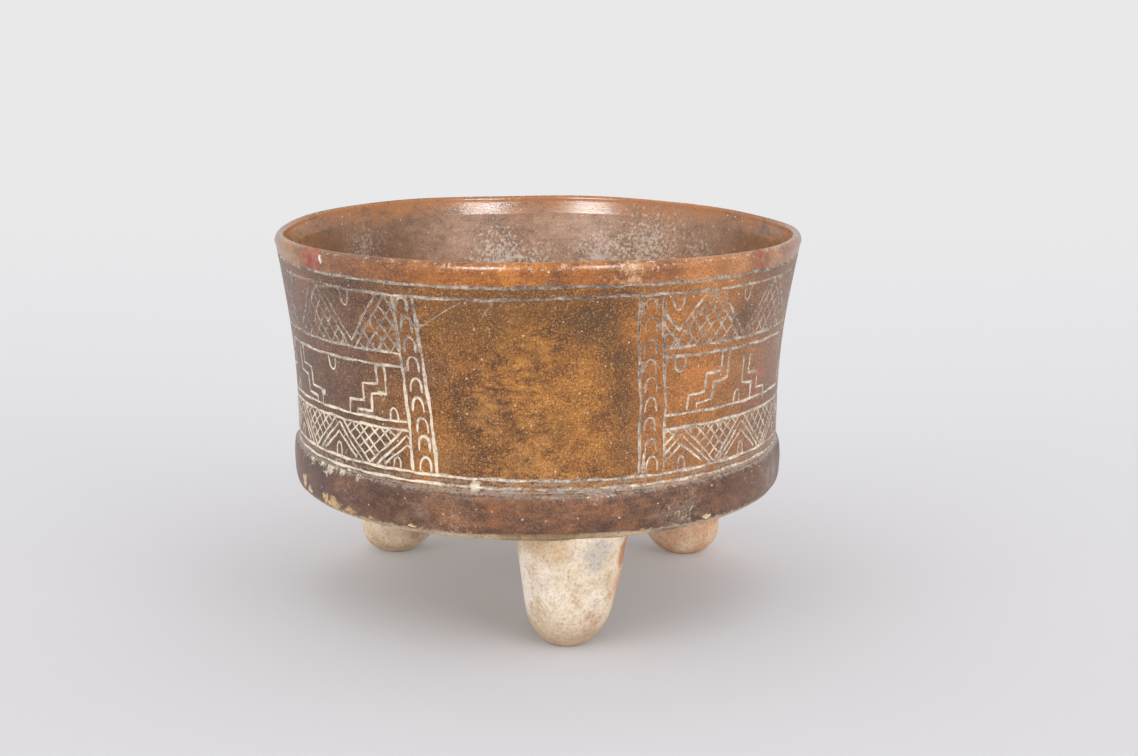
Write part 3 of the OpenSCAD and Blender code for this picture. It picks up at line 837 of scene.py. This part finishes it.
# Basal band
# A strip of clay wrapped round the joint of wall and disc and smoothed down, which leaves the uneven
# ledge at its top. Slipped brown like the wall, with the slip chipped to pale clay along its lower edge.
band_low, band_high = (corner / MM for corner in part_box("basal_band"))
band_r = band_high.x
low_round_r, low_round_h = band_r - seat_r - 0.2, 4.2
face_low_z, face_high_z, belly = band_low.z + low_round_h, ledge_z - 0.9, 0.2
quarter_steps = 8
band_section = [(seat_r, band_low.z)]
for i in range(quarter_steps + 1):
    a = math.radians(90 * i / quarter_steps)
    band_section.append((band_r - low_round_r * (1 - math.sin(a)),
                         band_low.z + low_round_h * (1 - math.cos(a))))
band_section += [(band_r + belly * math.sin(math.pi * t), face_low_z + (face_high_z - face_low_z) * t)
                 for t in (0.2, 0.4, 0.6, 0.8)]
smear_r = wall_outer(ledge_z) - 0.05
band_section += [(band_r - 0.12, ledge_z - 0.7), (band_r - 0.4, ledge_z - 0.3),
                 (band_r - 0.8, ledge_z - 0.02), (smear_r + 0.3, ledge_z + 0.3), (smear_r, ledge_z + 0.8),
                 (smear_r, ledge_z), (seat_r, ledge_z)]
band_tones = [(0.37, "#38261f"), (0.46, "#5e4233"), (0.54, "#82593f"), (0.64, "#aa764b")]
band_slip = brown_slip(
    "burnished_band_slip", (band_tones, plum_tones, band_tones),
    [(on_wall(-8, 47), 17, "#94582d", 0.15, 0.7), (on_wall(12, 48), 18, "#935a33", 0.12, 0.6),
     (on_wall(-30, 45), 14, "#8a5636", 0.12, 0.5), (on_wall(-25, 42), 22, "#857769", 0.1, 0.6),
     (on_wall(32, 41), 24, "#8c7b6d", 0.14, 0.6), (on_wall(70, 45), 20, "#94867a", 0.2, 0.6)],
    [(50.3, 1.6, "#a79a8c", 0.12, 0.65), (on_wall(-66.5, 51.0), 4.0, "#e3d7c0", 0.2, 0.95),
     (on_wall(-62, 51.0), 5.5, "#e3d7c0", 0.2, 0.95), (on_wall(-57.5, 51.0), 3.6, "#e3d7c0", 0.22, 0.95),
     (on_wall(-53, 51.0), 7.0, "#dfd2bb", 0.2, 0.9), (on_wall(-48, 51.0), 4.6, "#dfd2bb", 0.18, 0.9),
     (on_wall(-42.5, 51.0), 5.0, "#dfd2bb", 0.14, 0.9), (on_wall(14, 51.0), 8.0, "#b3a79b", 0.16, 0.75),
     (37.3, 2.6, "#c0a98c", 0.22, 0.85), (on_wall(34, 42), 16, "#d6c1a2", 0.02, 0.6),
     (on_wall(-16, 41), 20, "#c9b9a2", 0.0, 0.55), (on_wall(-45, 44), 20, "#c2b29c", -0.02, 0.5)],
    0.32, 0.2, 1.3)
band = turned("clay_basal_band", band_section, True, 300)
# The band waves up and down, most at the ledge but not where it clings to the wall, bulges in and out on
# its face, and is shorter over the front foot
short_most, short_az, short_wide = 1.3, 4, 22
for v in band.data.vertices:
    az, r, z = polar(v.co)
    a = math.radians(az)
    up = (z - band_low.z) / (ledge_z - band_low.z)
    wave = (0.35 * math.sin(3 * a + 1.2) + 0.22 * math.sin(8 * a) + 0.14 * math.sin(17 * a + 2)
            + 0.1 * math.sin(31 * a))
    bulge = 0.12 * math.sin(7 * a + 1) + 0.08 * math.sin(19 * a) if r > seat_r + 0.3 else 0.0
    grown = (r + swell(az, z) + bulge) / r
    short = short_most * (1 - up) * math.exp(-((az - short_az) / short_wide) ** 2)
    loose = min(1.0, max(0.0, (r - smear_r) / 0.7)) if up > 0.9 else 1.0
    v.co = Vector((v.co.x * grown, v.co.y * grown, (z + short + wave * (0.3 + 0.7 * up) * loose) * MM))
band.data.materials.append(band_slip)

# Chips along the lower edge, most of them at the left, where the slip has flaked to the clay:
# azimuth, height, width and height of each
chip_clay = buff_clay("chipped_clay", [(0.34, "#b3946c"), (0.50, "#d3b78f"), (0.66, "#e6d2b1")], [])
chip_off, chip_deep = 0.55, 1.1
for az, z, wide, tall in ((-67, 41.6, 4.6, 5.4), (-63.5, 40.0, 4.4, 3.4), (-54.5, 40.2, 4.2, 3.8),
                          (-51.2, 39.6, 6.4, 4.8), (-45, 39.2, 4.6, 2.4), (-38.4, 38.7, 2.6, 1.6),
                          (-27, 38.6, 3.4, 1.6), (41, 39.0, 3.4, 2.2)):
    bpy.ops.object.select_all(action="DESELECT")
    bpy.ops.mesh.primitive_ico_sphere_add(subdivisions=4, radius=1.0, location=(0, 0, 0))
    flake = bpy.context.view_layer.objects.active
    out, over = facing(az)
    drop = max(0.0, 1 - (z - band_low.z) / low_round_h)
    face_r = band_r - low_round_r * (1 - math.sqrt(1 - drop * drop)) + swell(az, z)
    for v in flake.data.vertices:
        x, y, up = v.co
        ragged = 1 + 0.22 * math.sin(4 * x + 3 * up + az) + 0.16 * math.sin(9 * up - 7 * x + z)
        v.co = (out * (face_r + chip_off + y * chip_deep) + over * x * wide / 2 * ragged
                + Vector((0, 0, z + up * tall / 2 * ragged))) * MM
    flake.data.materials.append(chip_clay)
    carve(band, flake, "DIFFERENCE")
    bpy.data.objects.remove(flake)

# A hairline drying crack down the right side of the band, its faces painted dark and dull: painted shade in the
# narrow gap
crack_shade, tree = new_finish("painted_crack_shade")
shader = add(tree, "ShaderNodeBsdfPrincipled", {"Base Color": linear("#2f211b"), "Roughness": 0.95})
add(tree, "ShaderNodeOutputMaterial", {"Surface": shader.outputs["BSDF"]})
crack_half, crack_proud = 0.24, 0.05
crack_tube = []
for az, z in ((69.2, 49.4), (69.5, 47.6), (68.9, 45.8), (69.3, 44.0), (68.8, 42.2), (69.0, 40.8)):
    out = facing(az)[0]
    crack_tube.append(((out * (band_r + swell(az, z) + crack_proud) + Vector((0, 0, z))) * MM, crack_half))
crack = drawn_tool("hairline", [(crack_tube, False)], 1, crack_shade)
carve(band, crack, "DIFFERENCE")
bpy.data.objects.remove(crack)
finish_piece(band, "basal_band", 60.0)

# Corner coil
# A thin coil pressed into the inside corner of floor and wall and drawn smooth with a wet finger. It is of
# the same clay as they are and carries the slip of the inside.
coil_low, coil_high = (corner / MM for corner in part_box("corner_coil"))
coil_r = coil_high.z - coil_low.z
corner_r = wall_inner(floor_z)
coil_bed, coil_sunk = 0.4, 0.2
coil_section = [(corner_r + coil_bed, floor_z - coil_sunk), (corner_r + coil_bed, floor_z + coil_r + 0.3)]
for i in range(quarter_steps + 1):
    a = math.radians(90 * i / quarter_steps)
    coil_section.append((corner_r - coil_r + coil_r * math.cos(a), floor_z + coil_r - coil_r * math.sin(a)))
coil_section += [(corner_r - coil_r, floor_z - coil_sunk)]
coil = turned("clay_corner_coil", coil_section, True, 160)
hand_worked(coil)
coil.data.materials.append(inside_slip)
finish_piece(coil, "corner_coil", 60.0)

# The tools of the incised lines have done their work
for tool in points.values():
    bpy.data.objects.remove(tool)

# Studio
# The vessel stands on a pale sheet of paper that curves up behind it. Two broad soft boxes in front and one
# overhead light it, and two strip lights only give its shine. Seen directly or in a reflection, the paper
# behind the vessel is an even pale grey.
paper, tree = new_finish("pale_paper")
place = add(tree, "ShaderNodeTexCoord").outputs["Object"]
back = add(tree, "ShaderNodeSeparateXYZ", {"Vector": place}).outputs["Y"]
depth = add(tree, "ShaderNodeMapRange", {"Value": back, "From Min": -0.5, "From Max": 0.8}).outputs["Result"]
# The paper is painted darker towards the front: painted shade on the floor
tint = add(tree, "ShaderNodeValToRGB", {"Fac": depth},
           stops=[(0.0, "#cecccf"), (1.0, "#e9e8ea")]).outputs["Color"]
matt = add(tree, "ShaderNodeBsdfPrincipled", {"Base Color": tint, "Roughness": 0.9}).outputs["BSDF"]
glow = add(tree, "ShaderNodeEmission", {"Color": linear("#e9e9ea"), "Strength": 1.0}).outputs["Emission"]
ray = add(tree, "ShaderNodeLightPath")
seen = ray.outputs["Is Camera Ray"]
for kind in ("Is Glossy Ray", "Is Transmission Ray"):
    seen = add(tree, "ShaderNodeMath", {0: seen, 1: ray.outputs[kind]}, operation="MAXIMUM").outputs["Value"]
behind = add(tree, "ShaderNodeMapRange", {"Value": back, "From Min": -0.1, "From Max": 0.9}).outputs["Result"]
share = add(tree, "ShaderNodeMath", {0: seen, 1: behind}, operation="MULTIPLY").outputs["Value"]
surface = add(tree, "ShaderNodeMixShader", {0: share, 1: matt, 2: glow}).outputs["Shader"]
add(tree, "ShaderNodeOutputMaterial", {"Surface": surface})
bpy.ops.object.select_all(action="DESELECT")
bpy.ops.mesh.primitive_plane_add(size=1.0, location=(0, 0, 0))
sheet = bpy.context.view_layer.objects.active
sheet.name = "paper_sweep"
sheet_w, sheet_front, sheet_back, sheet_bend, sheet_tall, bend_steps = 6, -3.0, 1.2, 0.8, 3.0, 12
for v in sheet.data.vertices:
    v.co = Vector((v.co.x * sheet_w, sheet_front if v.co.y < 0 else sheet_back, 0))
bpy.ops.object.mode_set(mode="EDIT")
bpy.ops.mesh.select_mode(type="EDGE")
bpy.ops.mesh.select_all(action="DESELECT")
bpy.ops.object.mode_set(mode="OBJECT")
for e in sheet.data.edges:
    e.select = all(sheet.data.vertices[i].co.y > 0 for i in e.vertices)
bpy.ops.object.mode_set(mode="EDIT")
for k in range(1, bend_steps + 1):
    a = math.radians(90 * k / bend_steps)
    last = math.radians(90 * (k - 1) / bend_steps)
    step = (0, sheet_bend * (math.sin(a) - math.sin(last)), sheet_bend * (math.cos(last) - math.cos(a)))
    bpy.ops.mesh.extrude_region_move(TRANSFORM_OT_translate={"value": step})
bpy.ops.mesh.extrude_region_move(TRANSFORM_OT_translate={"value": (0, 0, sheet_tall)})
bpy.ops.object.mode_set(mode="OBJECT")
bpy.ops.object.shade_smooth()
sheet.data.materials.append(paper)

world = bpy.data.worlds.new("soft_room")
bpy.context.scene.world = world
world.use_nodes = True
world.node_tree.nodes["Background"].inputs["Color"].default_value = linear("#f6f6f8")
world.node_tree.nodes["Background"].inputs["Strength"].default_value = 0.95
aim = Vector((0, 0, 0.08))
for name, spot, size, power, for_shine in (("strip_left", (-0.54, -1.05, 0.86), 0.34, 6.5, True),
                                           ("strip_right", (0.57, -1.05, 0.86), 0.34, 6.5, True),
                                           ("soft_box_left", (-0.95, -0.85, 0.32), 0.8, 5.2, False),
                                           ("soft_box_right", (0.95, -0.85, 0.32), 0.8, 6.8, False),
                                           ("soft_box_over", (0.0, 0.1, 1.4), 1.2, 2.0, False)):
    lamp = bpy.data.lights.new(name, "AREA")
    lamp.size = size
    lamp.energy = power
    held = bpy.data.objects.new(name, lamp)
    held.location = spot
    held.rotation_euler = (aim - Vector(spot)).to_track_quat("-Z", "Y").to_euler()
    held.visible_diffuse = not for_shine
    held.visible_glossy = for_shine
    bpy.context.scene.collection.objects.link(held)

camera = bpy.data.objects.new("camera", bpy.data.cameras.new("camera"))
bpy.context.scene.collection.objects.link(camera)
sensor_w, photo_w, focal_px = 36.0, 1138, 2000
camera_spot, camera_pitch, camera_roll = (0.010121, -0.63022, 0.20432), 12.194, 0.291
camera.data.sensor_width = sensor_w
camera.data.lens = sensor_w * focal_px / photo_w
camera.matrix_world = (Matrix.Translation(camera_spot)
                       @ Matrix.Rotation(math.radians(90 - camera_pitch), 4, "X")
                       @ Matrix.Rotation(math.radians(camera_roll), 4, "Z"))
bpy.context.scene.camera = camera
bpy.context.scene.view_settings.view_transform = "Standard"
